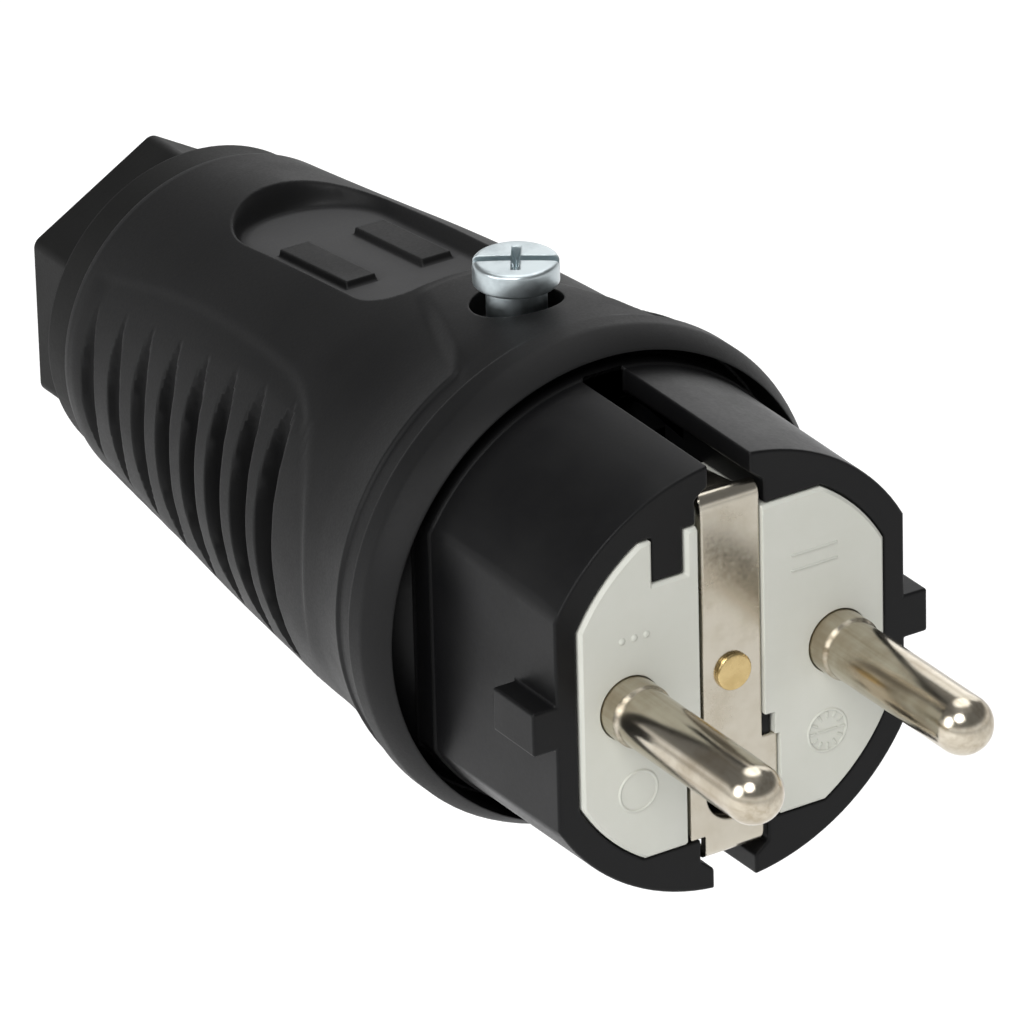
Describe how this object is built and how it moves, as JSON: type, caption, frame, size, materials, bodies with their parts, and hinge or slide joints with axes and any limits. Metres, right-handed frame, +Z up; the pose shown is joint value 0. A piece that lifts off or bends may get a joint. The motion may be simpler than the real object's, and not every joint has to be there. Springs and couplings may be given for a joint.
{
  "type": "rewirable mains plug",
  "caption": "Rewirable earthed mains plug: round pins and an earth strap in a grey insert, tapered black rubber housing with ribbed grips and a hexagonal cable gland.",
  "frame": {"origin": "middle of the insert's front face, half way between the pins", "axes": "pins point to -Y, the cord leaves to +Y, +X is to the right seen from the pins' side with the screw on top, +Z is up through the housing screw"},
  "size_m": [0.0418, 0.1043, 0.0444],
  "materials": {
    "housing_rubber": "satin, fine moulded grain",
    "nose_plastic": "moulded, half gloss",
    "gland_plastic": "moulded, matte",
    "carrier_plastic": "moulded, matte",
    "nickel": "nickel plated, polished",
    "brass": "bare, turned",
    "zinc_steel": "bright zinc plated",
    "seal_rubber": "matte"
  },
  "bodies": {
    "root": {"housing": "housing_rubber", "nose": "nose_plastic", "contact_carrier": "carrier_plastic", "pin_left": "nickel", "pin_right": "nickel", "terminal_screw_left": "zinc_steel", "terminal_screw_right": "zinc_steel", "wire_clamp_left": "zinc_steel", "wire_clamp_right": "zinc_steel", "earth_strap": "nickel", "earth_rivet": "brass", "earth_socket_sleeve": "nickel", "earth_terminal": "brass", "earth_terminal_screw": "zinc_steel", "wire_clamp_earth": "zinc_steel", "housing_screw": "zinc_steel", "housing_screw_nut": "zinc_steel", "gland_nut": "gland_plastic", "thrust_washer": "gland_plastic", "gland_collet": "gland_plastic", "gland_seal": "seal_rubber"}
  },
  "joints": []
}
